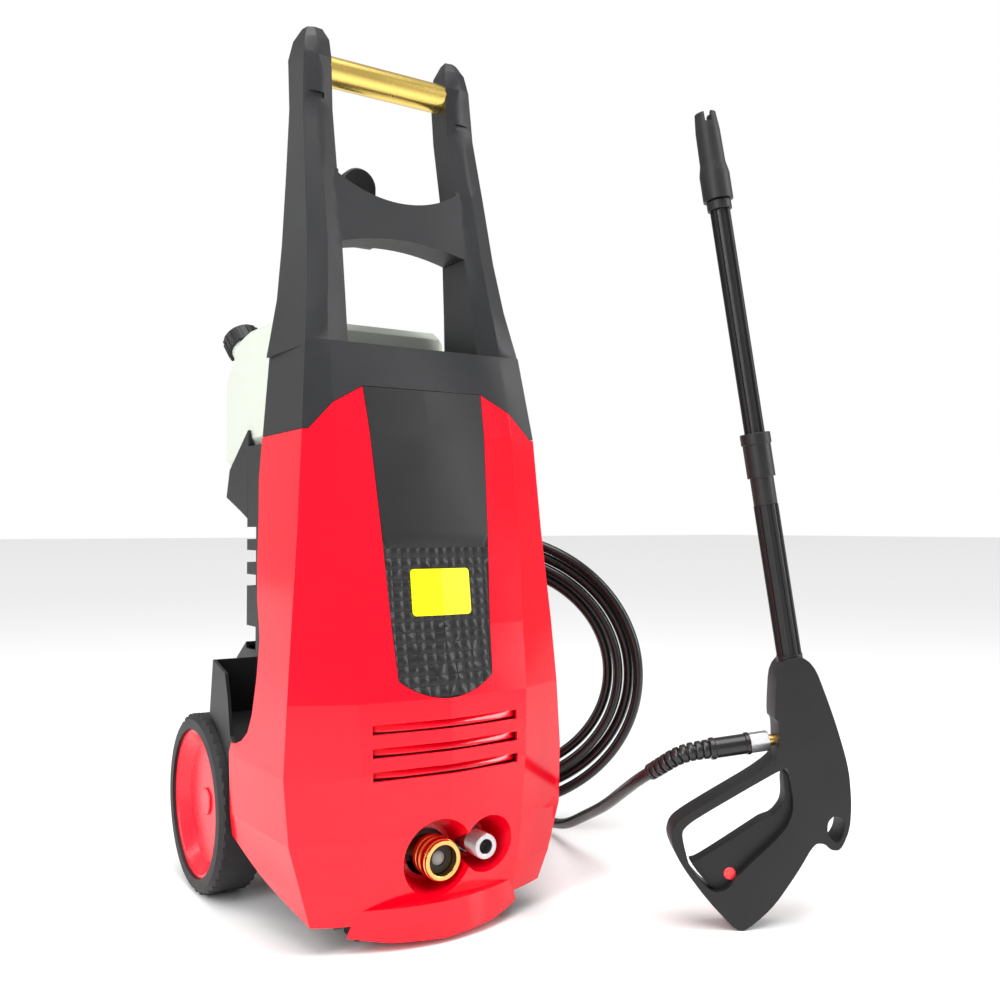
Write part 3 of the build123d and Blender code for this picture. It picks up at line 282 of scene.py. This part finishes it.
LOOKS = {
    "cover_red": dict(
        colour=(0.86, 0.0, 0.014), gloss=(0.12, 0.18), grain_size=500, grain_depth=0.01,
        waves=0.3, dust=0.0, shine=0.42
    ),
    "frame_black": dict(
        colour=(0.010, 0.0105, 0.012), gloss=(0.4, 0.5), grain_size=1400, grain_depth=0.25,
        waves=0.0, dust=0.01, shine=0.4
    ),
    "panel_black": dict(
        colour=(0.010, 0.010, 0.011), gloss=(0.34, 0.42), grain_size=1400, grain_depth=0.12,
        waves=0.0, dust=0.0, shine=0.4
    ),
    "label_yellow": dict(
        colour=(0.93, 0.84, 0.0), gloss=(0.3, 0.36), grain_size=700, grain_depth=0.02, waves=0.0,
        dust=0.0
    ),
    "gold_anodised": dict(
        colour=(0.83, 0.6, 0.16), gloss=(0.24, 0.32), grain_size=900, grain_depth=0.05, waves=0.0,
        dust=0.0, metal=1.0
    ),
    "foot_rubber": dict(
        colour=(0.02, 0.02, 0.02), gloss=(0.7, 0.8), grain_size=700, grain_depth=0.3
    ),
    "steel": dict(
        colour=(0.56, 0.56, 0.57), gloss=(0.3, 0.4), grain_size=900, grain_depth=0.1, waves=0.0,
        dust=0.03, metal=1.0
    ),
    "rim_red": dict(
        colour=(0.86, 0.01, 0.03), gloss=(0.24, 0.32), grain_size=500, grain_depth=0.02,
        waves=0.4, dust=0.0, shine=0.5
    ),
    "tyre_black": dict(
        colour=(0.011, 0.011, 0.012), gloss=(0.5, 0.66), grain_size=800, grain_depth=0.25,
        waves=0.0, dust=0.02, shine=0.4
    ),
    "brass": dict(
        colour=(0.83, 0.52, 0.17), gloss=(0.2, 0.3), grain_size=600, grain_depth=0.08, waves=0.0,
        dust=0.02, metal=1.0
    ),
    "filter_mesh": dict(
        colour=(0.33, 0.35, 0.36), gloss=(0.4, 0.5), grain_size=2500, grain_depth=0.6
    ),
    "zinc_steel": dict(
        colour=(0.6, 0.6, 0.62), gloss=(0.26, 0.42), grain_size=700, grain_depth=0.3, waves=0.0,
        dust=0.05, metal=1.0
    ),
    "motor_core": dict(
        colour=(0.3, 0.28, 0.26), gloss=(0.4, 0.55), grain_size=1200, grain_depth=0.3, waves=0.0,
        dust=0.05, metal=1.0
    ),
    "inner_plastic": dict(
        colour=(0.03, 0.03, 0.032), gloss=(0.5, 0.6), grain_size=1200, grain_depth=0.2
    ),
    "cast_alloy": dict(
        colour=(0.5, 0.5, 0.51), gloss=(0.45, 0.6), grain_size=1300, grain_depth=0.5, waves=0.0,
        dust=0.05, metal=1.0
    ),
    "rocker_red": dict(
        colour=(0.6, 0.01, 0.015), gloss=(0.2, 0.3), grain_size=600, grain_depth=0.02, coat=0.4
    ),
    "tank_white": dict(
        colour=(0.6, 0.64, 0.56), gloss=(0.34, 0.42), grain_size=500, grain_depth=0.06, waves=1.2,
        dust=0.02
    ),
    "cap_black": dict(
        colour=(0.009, 0.009, 0.010), gloss=(0.42, 0.5), grain_size=1200, grain_depth=0.15,
        dust=0.01, shine=0.4
    ),
    "gun_black": dict(
        colour=(0.0075, 0.008, 0.009), gloss=(0.42, 0.54), grain_size=1600, grain_depth=0.3,
        waves=0.0, dust=0.01, shine=0.4
    ),
    "button_red": dict(
        colour=(0.85, 0.02, 0.03), gloss=(0.2, 0.28), grain_size=500, grain_depth=0.02, coat=0.5
    ),
    "wand_black": dict(
        colour=(0.007, 0.007, 0.008), gloss=(0.34, 0.44), grain_size=1500, grain_depth=0.18,
        waves=0.0, dust=0.01, shine=0.4
    ),
    "hose_black": dict(
        colour=(0.008, 0.008, 0.009), gloss=(0.2, 0.3), grain_size=900, grain_depth=0.06,
        waves=0.3, dust=0.02
    ),
}
FINISHES = {title: finish(title, **look) for title, look in LOOKS.items()}
print("finishes", len(FINISHES))

# %% [markdown]
# ## Softened edges on the solids
# No moulded or machined edge is sharp: a radius of half a millimetre to two millimetres catches
# the light as a thin bright line. Each solid's triangles are merged, flat triangles are joined
# back into faces, and a Bevel modifier rounds the edges that turn by more than thirty degrees.

# %% Slots and bodies from the record
SLOT_OF = {part["node"]: part["material_slot"] for part in frame["record"]["subparts"]}
BODIES = frame["record"]["behaviour"]["bodies"]
BODY_OF = {node: body for body, held in BODIES.items() for node in held}


def merged(node):
    """A bmesh of a solid's mesh with its doubles merged and its flat triangles joined into faces."""
    work = bmesh.new()
    work.from_mesh(nodes[node].data)
    bmesh.ops.remove_doubles(work, verts=work.verts, dist=0.00001)
    bmesh.ops.dissolve_limit(
        work, angle_limit=radians(0.6), verts=work.verts, edges=work.edges
    )
    return work


def smooth(mesh, angle=32):
    """Smooth shading that stays crisp where faces turn by more than the angle."""
    for face in mesh.polygons:
        face.use_smooth = True
    mesh.set_sharp_from_angle(angle=radians(angle))


def piece(title, work, slot, body=None, replaced=()):
    """A finished object made from a bmesh; it rides on a body and may stand for solids."""
    mesh = bpy.data.meshes.new(title)
    work.to_mesh(mesh)
    work.free()
    smooth(mesh)
    mesh.materials.append(FINISHES[slot])
    made = bpy.data.objects.new(title, mesh)
    bpy.context.collection.objects.link(made)
    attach(made, body or BODY_OF[replaced[0]])
    if replaced:
        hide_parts(*replaced)
    return made


def soften(made, width, angle=32, segments=2):
    """Rounded edges, and normals that keep the flat faces flat."""
    edges = made.modifiers.new("rounded edges", "BEVEL")
    edges.width = width * MM
    edges.segments = segments
    edges.limit_method = "ANGLE"
    edges.angle_limit = radians(angle)
    edges.harden_normals = False
    even = made.modifiers.new("even shading", "WEIGHTED_NORMAL")
    even.keep_sharp = True
    return made


# %% Round the edges of the moulded and machined solids
EDGE_WIDTHS = {
    "handle_frame": 2.2, "hose_hook": 2.0, "rear_housing": 0.9, "tank_cradle": 1.0,
    "base_tray": 1.0, "front_foot": 2.0, "detergent_tank": 4.0, "tank_cap": 0.7, "power_rocker": 0.5,
    "switch_body": 0.5, "cord_gland": 0.6, "wheel_rim_left": 1.0, "wheel_rim_right": 1.0,
    "wheel_cap_left": 0.8, "wheel_cap_right": 0.8, "inlet_coupling": 0.5, "outlet_fitting": 0.5,
    "inlet_nipple": 0.5, "safety_button": 0.8, "wand_coupler": 0.6, "nozzle_collar": 0.5,
    "nozzle_head": 0.6, "hose_nut": 0.5, "wand_lower": 0.4, "wand_upper": 0.4,
    "handle_bar": 0.5, "pump_head": 1.0, "pump_case": 1.0, "motor_can": 1.0,
}
for node, width in EDGE_WIDTHS.items():
    copy = piece(node + "_soft", merged(node), SLOT_OF[node], replaced=(node,))
    soften(copy, width)
print("softened", len(EDGE_WIDTHS), "pieces")

# %% Every other solid keeps its mesh and gets its finish
REBUILT = (
    "front_shell", "front_panel", "label_plate", "gun_shell_left", "gun_shell_right",
    "gun_trigger", "inlet_filter",
)
for node, solid in nodes.items():
    if node in EDGE_WIDTHS or node in REBUILT:
        continue
    if not solid.material_slots:
        solid.data.materials.append(FINISHES[SLOT_OF[node]])
    for held in solid.material_slots:
        held.material = FINISHES[SLOT_OF[node]]

# %% [markdown]
# ## The red cover
# The cover is one glossy moulding. Where its big faces meet, the real one turns on a radius of
# about a centimetre. The solid meets there on plain lines, so those lines are found by the angle
# between their faces and rounded with a wide bevel. The rims of the openings get a small one.

# %% Round the cover's long creases


def crease_lines(work, low, high, shortest):
    """Edges where two faces turn by an angle in degrees between low and high."""
    found = []
    for edge in work.edges:
        if len(edge.link_faces) == 2 and edge.calc_length() > shortest * MM:
            if radians(low) < edge.calc_face_angle(0) < radians(high):
                found.append(edge)
    return found


CREASE_WIDTH = 7     # how far the rounding reaches from each crease
cover = merged("front_shell")
creases = [
    edge for edge in crease_lines(cover, 2.5, 75, 9)
    if max(face.normal.y for face in edge.link_faces) < 0.35
    and edge.verts[0].co.z + edge.verts[1].co.z > 0.1
]
bmesh.ops.bevel(
    cover, geom=creases, offset=CREASE_WIDTH * MM, offset_type="OFFSET", affect="EDGES",
    segments=5, profile=0.5, clamp_overlap=True, material=-1
)
cover_piece = piece("red_cover", cover, "cover_red", replaced=("front_shell",))
soften(cover_piece, 0.9, angle=50)
print("cover creases rounded:", len(creases))

# %% [markdown]
# ## The vents
# Each slot has a bowed blade over it, so that spray runs off and the slot shows as a thin dark
# line. A blade is a strip of faces, bent by moving its points and thickened with a modifier.

# %% Blades over the slots
VENT_HEIGHTS = (187, 168, 149)
VENT_X = 71
blades = bmesh.new()
for height in VENT_HEIGHTS:
    strip = bmesh.ops.create_grid(blades, x_segments=24, y_segments=4, size=0.5)["verts"]
    for spot in strip:
        across, down = spot.co.x * 2, 0.5 - spot.co.y
        bow = 1 - across * across
        forward = -203.2 - (1.0 + 5.5 * down) * bow ** 0.6 + 3 * across * across
        spot.co = at(across * (VENT_X - 0.4), forward, height + 5.0 - 7.2 * down)
bmesh.ops.recalc_face_normals(blades, faces=blades.faces)
blades_piece = piece("vent_blades", blades, "cover_red", body="chassis")
wall = blades_piece.modifiers.new("wall", "SOLIDIFY")
wall.thickness = 1.4 * MM
wall.offset = 0
print("blades", len(VENT_HEIGHTS))

# %% [markdown]
# ## The black panel
# Its lower part is moulded in small square tiles. The panel's own mesh is cut along a grid of
# planes, each cut is bevelled, and the middle of each bevel is pushed in to make a groove.

# %% Grooves in the panel
TILE = 9.0            # side of a tile
GRID_TOP = 336.0      # height of the topmost cut
GROOVE_HALF = 0.7     # half the width of a groove
GROOVE_DEPTH = 0.9
panel = merged("front_panel")


def front_faces(work, top):
    """Faces that look forward, below a height."""
    return [
        face for face in work.faces
        if face.normal.y < -0.5 and face.calc_center_median().z < top * MM
    ]


def cut_front(work, place, way, top):
    """Cuts the forward faces along a plane."""
    faces = front_faces(work, top)
    parts = faces + list({edge for face in faces for edge in face.edges})
    parts += list({spot for face in faces for spot in face.verts})
    bmesh.ops.bisect_plane(work, geom=parts, dist=0.00001, plane_co=place, plane_no=way)


cut_front(panel, at(0, 0, GRID_TOP), (0, 0, 1), 600)
columns = [TILE * (step - 6) for step in range(13)]
rows = [GRID_TOP - TILE * step for step in range(15)]
for x in columns:
    cut_front(panel, at(x, 0, 0), (1, 0, 0), GRID_TOP)
for z in rows[1:]:
    cut_front(panel, at(0, 0, z), (0, 0, 1), GRID_TOP)


def on_grid(first, second):
    """True where both ends of a line lie on one cut of the grid."""
    for x in columns:
        if abs(first.x - x * MM) < 0.00003 and abs(second.x - x * MM) < 0.00003:
            return True
    for z in rows:
        if abs(first.z - z * MM) < 0.00003 and abs(second.z - z * MM) < 0.00003:
            return True
    return False


grooves = [
    edge for edge in panel.edges
    if len(edge.link_faces) == 2 and all(face.normal.y < -0.5 for face in edge.link_faces)
    and max(spot.co.z for spot in edge.verts) < (GRID_TOP + 0.1) * MM
    and on_grid(edge.verts[0].co, edge.verts[1].co)
]
bmesh.ops.bevel(
    panel, geom=grooves, offset=GROOVE_HALF * MM, offset_type="OFFSET", affect="EDGES",
    segments=2, profile=0.5, clamp_overlap=False, material=-1
)
for spot in panel.verts:
    in_column = any(abs(spot.co.x - x * MM) < 0.0001 for x in columns)
    in_row = any(abs(spot.co.z - z * MM) < 0.0001 for z in rows)
    forward = spot.link_faces and all(face.normal.y < -0.4 for face in spot.link_faces)
    if forward and (in_column or in_row) and spot.co.z < (GRID_TOP + 0.2) * MM:
        spot.co.y += GROOVE_DEPTH * MM
panel_piece = piece("grid_panel", panel, "panel_black", replaced=("front_panel",))
print("grooves cut:", len(grooves))

# %% [markdown]
# ## The plate on the panel
# A small yellow plate, its corners rounded. It carries no words and no border.

# %% Plate
plate = merged("label_plate")
corners = [
    edge for edge in plate.edges
    if abs((edge.verts[0].co - edge.verts[1].co).normalized().y) > 0.8
    and abs(edge.verts[0].co.x) > 0.028
]
bmesh.ops.bevel(
    plate, geom=corners, offset=3.5 * MM, offset_type="OFFSET", affect="EDGES", segments=5,
    profile=0.5, clamp_overlap=True, material=-1
)
piece("yellow_plate", plate, "label_yellow", replaced=("label_plate",))
print("plate corners", len(corners))

# %% [markdown]
# ## The trigger gun
# The gun is two moulded halves with generous radii all round. Its outline is drawn as a few
# points; bevelling the points rounds the outline, filling it makes a flat shape with its guard
# and hanging loop open, and an extrusion with bevelled rims gives it a body.

# %% The gun's own place: how far it is turned, leaned and moved
GUN_OUTLINE = [
    (-15, 0), (15, 0), (26.6, -55), (32.8, -101), (30.5, -132), (25.5, -155), (14.8, -172),
    (6.5, -171), (1, -164), (-7.5, -163), (-25.4, -185), (-51.8, -212.5), (-78.4, -229),
    (-87.3, -227.5), (-109, -196), (-126, -164.5), (-132.4, -142.5), (-126.7, -129),
    (-110.5, -120.3), (-29.4, -88), (-24.4, -73), (-22, -53), (-25.5, -50),
]
GUARD_OPENING = [
    (-121.7, -140.5), (-119.7, -133.5), (-107.7, -126.2), (-24, -93.5), (-20, -95), (-20, -130),
    (-31, -148.6), (-76.4, -179), (-89.6, -192), (-103.5, -192), (-119, -169),
]
LOOP_HOLE = [(14, -141), (22.5, -147), (19, -159), (12.5, -166.5), (5, -157), (7, -146)]
TRIGGER = [
    (7, -105), (7, -111), (-8, -119), (-20, -138), (-31, -150), (-76, -181), (-90, -193),
    (-100, -192), (-111, -176), (-117, -164.5), (-110, -165), (-55, -140.4), (-48, -137),
    (-36.5, -135), (-25.4, -124), (-23, -99.5), (-16, -98), (-9, -99.5), (-6, -105),
]
GUN_PLACE = (
    Matrix.Translation(at(278.1, -335.4, 238.07))
    @ Matrix.Rotation(radians(-32.7), 4, "Z")
    @ Matrix.Rotation(radians(-8.5), 4, "Y")
)


def slab(outlines, half, rim, share=34):
    """Flat shape from closed outlines, with rounded corners, drawn out both ways and rimmed."""
    work = bmesh.new()
    for outline in outlines:
        spots = [work.verts.new(Vector((x, -half, z)) * MM) for x, z in outline]
        for pair in zip(spots, spots[1:] + spots[:1]):
            work.edges.new(pair)
    bmesh.ops.bevel(
        work, geom=work.verts[:], offset=share, offset_type="PERCENT", affect="VERTICES", segments=4,
        profile=0.5, clamp_overlap=True, material=-1
    )
    bmesh.ops.triangle_fill(work, use_beauty=True, use_dissolve=False, edges=work.edges[:])
    grown = bmesh.ops.extrude_face_region(work, geom=work.faces[:])["geom"]
    moved = [item for item in grown if isinstance(item, bmesh.types.BMVert)]
    bmesh.ops.translate(work, vec=(0, 2 * half * MM, 0), verts=moved)
    bmesh.ops.recalc_face_normals(work, faces=work.faces)
    rims = crease_lines(work, 60, 120, 0)
    bmesh.ops.bevel(
        work, geom=rims, offset=rim * MM, offset_type="OFFSET", affect="EDGES", segments=4, profile=0.5,
        clamp_overlap=True, material=-1
    )
    bmesh.ops.transform(work, matrix=GUN_PLACE, verts=work.verts)
    return work


# %% Body and trigger of the gun
gun_body = slab([GUN_OUTLINE, GUARD_OPENING, LOOP_HOLE], 15.5, 3.6)
gun_piece = piece(
    "gun_body", gun_body, "gun_black", replaced=("gun_shell_left", "gun_shell_right")
)
trigger_piece = piece(
    "trigger_lever", slab([TRIGGER], 8.0, 1.8), "gun_black", replaced=("gun_trigger",)
)
print("gun faces", len(gun_piece.data.polygons), "trigger faces", len(trigger_piece.data.polygons))

# %% [markdown]
# ## The hose as a tube
# The tube is the curve's own mesh. It bends between the gun and the machine.

# %% Hose tube
tube = bpy.data.objects.new("hose", mesh_of(hose_curve(hose_points, HOSE_R)))
bpy.context.collection.objects.link(tube)
for face in tube.data.polygons:
    face.use_smooth = True
tube.data.materials.append(FINISHES["hose_black"])
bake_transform(tube)
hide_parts("hose_lead", "hose_coil")
print("hose tube faces", len(tube.data.polygons))

# %% [markdown]
# ## The strain relief
# Where the hose leaves the gun a rubber sleeve keeps it from kinking. It is a smooth collar and
# then a row of fat rings. Each ring is a small spun profile, turned to face along the hose's line.

# %% Walk along the hose's line


def along_hose(distance):
    """The place and direction on the hose's line at a distance in metres from its start."""
    left = distance
    for a, b in zip(hose_line, hose_line[1:]):
        run = (b - a).length
        if left <= run:
            return a.lerp(b, left / run), (b - a).normalized()
        left -= run
    return hose_line[-1], (hose_line[-1] - hose_line[-2]).normalized()


def spun(profile, steps, place=Vector((0, 0, 0)), direction=Vector((0, 0, 1)), closed=False):
    """A bmesh spun from (radius, height) points in millimetres about a line through place."""
    work = bmesh.new()
    turn = direction.to_track_quat("Z", "Y").to_matrix().to_4x4()
    spots = [work.verts.new(Vector((radius, 0, height)) * MM) for radius, height in profile]
    rim = [work.edges.new(pair) for pair in zip(spots, spots[1:])]
    if closed:
        rim.append(work.edges.new((spots[-1], spots[0])))
    bmesh.ops.spin(
        work, geom=spots + rim, axis=(0, 0, 1), cent=(0, 0, 0), angle=2 * pi, steps=steps,
        use_merge=True
    )
    bmesh.ops.remove_doubles(work, verts=work.verts, dist=0.000005)
    bmesh.ops.recalc_face_normals(work, faces=work.faces)
    bmesh.ops.transform(work, matrix=Matrix.Translation(place) @ turn, verts=work.verts)
    return work


def add_to(whole, part):
    """Adds a bmesh to another."""
    carrier = bpy.data.meshes.new("carrier")
    part.to_mesh(carrier)
    part.free()
    whole.from_mesh(carrier)
    bpy.data.meshes.remove(carrier)


# %% Collar and rings
relief = bmesh.new()
collar = [
    (5.9, 0), (9.4, 0), (9.9, 0.6), (9.9, 3.4), (9.0, 4.2), (9.0, 31), (9.9, 31.8), (9.9, 35),
    (9.2, 36), (5.9, 36),
]
place, direction = along_hose(0)
add_to(relief, spun(collar, 40, place, direction, closed=True))
RING = [
    (5.9, -3.0), (7.0, -3.0), (8.1, -2.5), (8.6, -1.6), (8.6, 1.6), (8.1, 2.5), (7.0, 3.0),
    (5.9, 3.0),
]
RINGS = 10
FIRST_RING = 39.5     # along the hose
RING_PITCH = 6.4
RING_TAPER = 0.012    # each ring is this share smaller than the first
RING_BORE = 5.9       # no ring gets tighter than this on the hose
for ring in range(RINGS):
    place, direction = along_hose((FIRST_RING + ring * RING_PITCH) * MM)
    taper = 1 - RING_TAPER * ring
    profile = [(max(RING_BORE, radius * taper), height) for radius, height in RING]
    add_to(relief, spun(profile, 32, place, direction, closed=True))
relief_piece = piece("hose_relief", relief, "hose_black", replaced=("hose_sleeve",))
print("relief ends", round(FIRST_RING + RINGS * RING_PITCH), "mm along the hose")

# %% The coupling on the hose's far end, on the floor behind the coil
tail, tail_way = hose_line[-1], (hose_line[-1] - hose_line[-2]).normalized()
coupling = spun(
    [(5.9, -8), (8.6, -8), (9.2, -7), (9.2, 10), (12.4, 12), (12.8, 13), (12.8, 24), (13.6, 25),
     (13.6, 37), (12.6, 38), (11.2, 38), (11.2, 20), (5.9, 20)],
    40, tail, tail_way, closed=True
)
coupling_piece = piece("hose_coupling", coupling, "hose_black", replaced=("hose_end_coupling",))
soften(coupling_piece, 0.4)

# %% [markdown]
# ## Rings on the water fittings
# The steel pipe ends in a rolled thread, and the brass coupling holds a black rubber washer with
# a fine mesh in its middle. All three are small profiles spun round the fitting's own line.

# %% Thread on the steel pipe
FORWARD = Vector((0, -1, 0))
OUTLET = at(47.0, -192.0, 70.0)
THREAD_TURNS = 12
THREAD_PITCH = 1.6
FIRST_TURN = 1.2      # behind the pipe's front face
ridge = [(10.4, -0.75), (11.35, -0.1), (11.35, 0.1), (10.4, 0.75)]
thread = bmesh.new()
for turn in range(THREAD_TURNS):
    place = OUTLET - FORWARD * (FIRST_TURN + THREAD_PITCH * turn) * MM
    add_to(thread, spun(ridge, 40, place, FORWARD, closed=True))
thread_piece = piece("outlet_thread", thread, "zinc_steel", body="chassis")

# %% Washer and mesh in the brass coupling
INLET = at(3.5, -192.0, 65.0)
washer = spun(
    [(6.8, 0), (12.8, 0), (12.8, 2.2), (11.8, 2.6), (7.6, 2.6), (6.8, 2.0)], 40,
    INLET - FORWARD * 10.6 * MM, FORWARD, closed=True
)
piece("inlet_washer", washer, "foot_rubber", body="inlet_swivel")
dome = spun(
    [(0.0, 2.4), (3.0, 2.1), (5.4, 1.2), (6.7, 0.0), (6.7, -0.6), (0.0, -0.6)], 36,
    INLET - FORWARD * 10.2 * MM, FORWARD
)
piece("inlet_mesh", dome, "filter_mesh", body="chassis", replaced=("inlet_filter",))
print("thread faces", len(thread_piece.data.polygons))

# %% [markdown]
# ## Tread lugs
# Each tyre has a row of small lugs along both edges of its tread. One lug is a bevelled block;
# copies of it are turned about the axle in even steps.

# %% Lugs on both tyres
TYRE_R = 85.5
TYRE_MIDDLE = 124.5    # from the machine's middle plane to the middle of a tyre
LUGS = 40               # in each row
LUG_SIZE = (7, 6.5, 2.4)
LUG_ROW = 15.8          # from the middle of the tyre to the middle of a row
LUG_SINK = 1.0          # how far a lug's middle lies below the tread
AXLE = at(0, 36.0, TYRE_R)
for side, wheel in ((-1, "wheel_left"), (1, "wheel_right")):
    lugs = bmesh.new()
    for row in (-1, 1):
        for step in range(LUGS):
            one = bmesh.new()
            bmesh.ops.create_cube(one, size=1)
            bmesh.ops.scale(one, vec=Vector(LUG_SIZE) * MM, verts=one.verts)
            bmesh.ops.bevel(
                one, geom=one.edges[:], offset=0.5 * MM, offset_type="OFFSET", affect="EDGES", segments=1,
                profile=0.5, clamp_overlap=True, material=-1
            )
            across = side * TYRE_MIDDLE + row * LUG_ROW
            out = Matrix.Translation(Vector((across, 0, TYRE_R - LUG_SINK)) * MM)
            round_axle = Matrix.Rotation(2 * pi * (step + 0.25 * (row + 1)) / LUGS, 4, "X")
            turned = Matrix.Translation(AXLE) @ round_axle @ out
            bmesh.ops.transform(one, matrix=turned, verts=one.verts)
            add_to(lugs, one)
    lowest = min(spot.co.z for spot in lugs.verts)
    for spot in lugs.verts:
        spot.co.z = max(spot.co.z, 0.0)
    piece(wheel + "_lugs", lugs, "tyre_black", body=wheel)
    print(wheel, "lugs", 2 * LUGS, "lowest", round(lowest / MM, 2), "mm")

# %% [markdown]
# ## Floor and lights
# A plain pale floor and large soft lights show gloss as long, clean highlights.

# %% Floor
floor = bmesh.new()
bmesh.ops.create_grid(floor, x_segments=1, y_segments=1, size=30)
floor_mesh = bpy.data.meshes.new("floor")
floor.to_mesh(floor_mesh)
floor.free()
floor_object = bpy.data.objects.new("floor", floor_mesh)
bpy.context.collection.objects.link(floor_object)
pale = bpy.data.materials.new("pale_floor")
pale.use_nodes = True
pale_shader = pale.node_tree.nodes["Principled BSDF"]
pale_shader.inputs["Base Color"].default_value = (0.93, 0.93, 0.93, 1)
pale_shader.inputs["Roughness"].default_value = 0.25
pale_shader.inputs["Specular IOR Level"].default_value = 0.08
floor_mesh.materials.append(pale)

# %% Soft lights


def soft_light(title, place, aim, width, height, power):
    """A large area light that looks at a point."""
    data = bpy.data.lights.new(title, "AREA")
    data.shape = "RECTANGLE"
    data.size = width
    data.size_y = height
    data.energy = power
    lamp = bpy.data.objects.new(title, data)
    lamp.location = place
    lamp.rotation_euler = (Vector(aim) - Vector(place)).to_track_quat("-Z", "Y").to_euler()
    bpy.context.collection.objects.link(lamp)


MACHINE_MIDDLE = (0, 0.1, 0.4)
soft_light("left_box", (-1.9, -0.9, 1.3), MACHINE_MIDDLE, 0.4, 1.8, 34)
soft_light("right_box", (1.6, -1.3, 1.2), MACHINE_MIDDLE, 0.3, 1.8, 26)
soft_light("back_box", (-1.7, 1.4, 1.2), MACHINE_MIDDLE, 0.3, 1.8, 9)
soft_light("top_box", (0, -0.4, 2.4), MACHINE_MIDDLE, 1.4, 1.0, 6)
day = bpy.data.lights.new("overhead", "SUN")
day.energy = 2.35
day.angle = radians(50)
overhead = bpy.data.objects.new("overhead", day)
overhead.rotation_euler = (radians(12), radians(-8), 0)
bpy.context.collection.objects.link(overhead)
world = bpy.data.worlds.new("studio")
bpy.context.scene.world = world
world.use_nodes = True
sky = world.node_tree
room = sky.nodes["Background"]
room.inputs["Color"].default_value = (1, 1, 1, 1)
room.inputs["Strength"].default_value = 0.42
backdrop = sky.nodes.new("ShaderNodeBackground")
backdrop.inputs["Color"].default_value = (1, 1, 1, 1)
backdrop.inputs["Strength"].default_value = 1.0
seen = sky.nodes.new("ShaderNodeLightPath")
choose = sky.nodes.new("ShaderNodeMixShader")
link(sky, seen.outputs["Is Camera Ray"], choose.inputs[0])
link(sky, room.outputs[0], choose.inputs[1])
link(sky, backdrop.outputs[0], choose.inputs[2])
link(sky, choose.outputs[0], sky.nodes["World Output"].inputs["Surface"])
bpy.context.scene.view_settings.view_transform = "Standard"
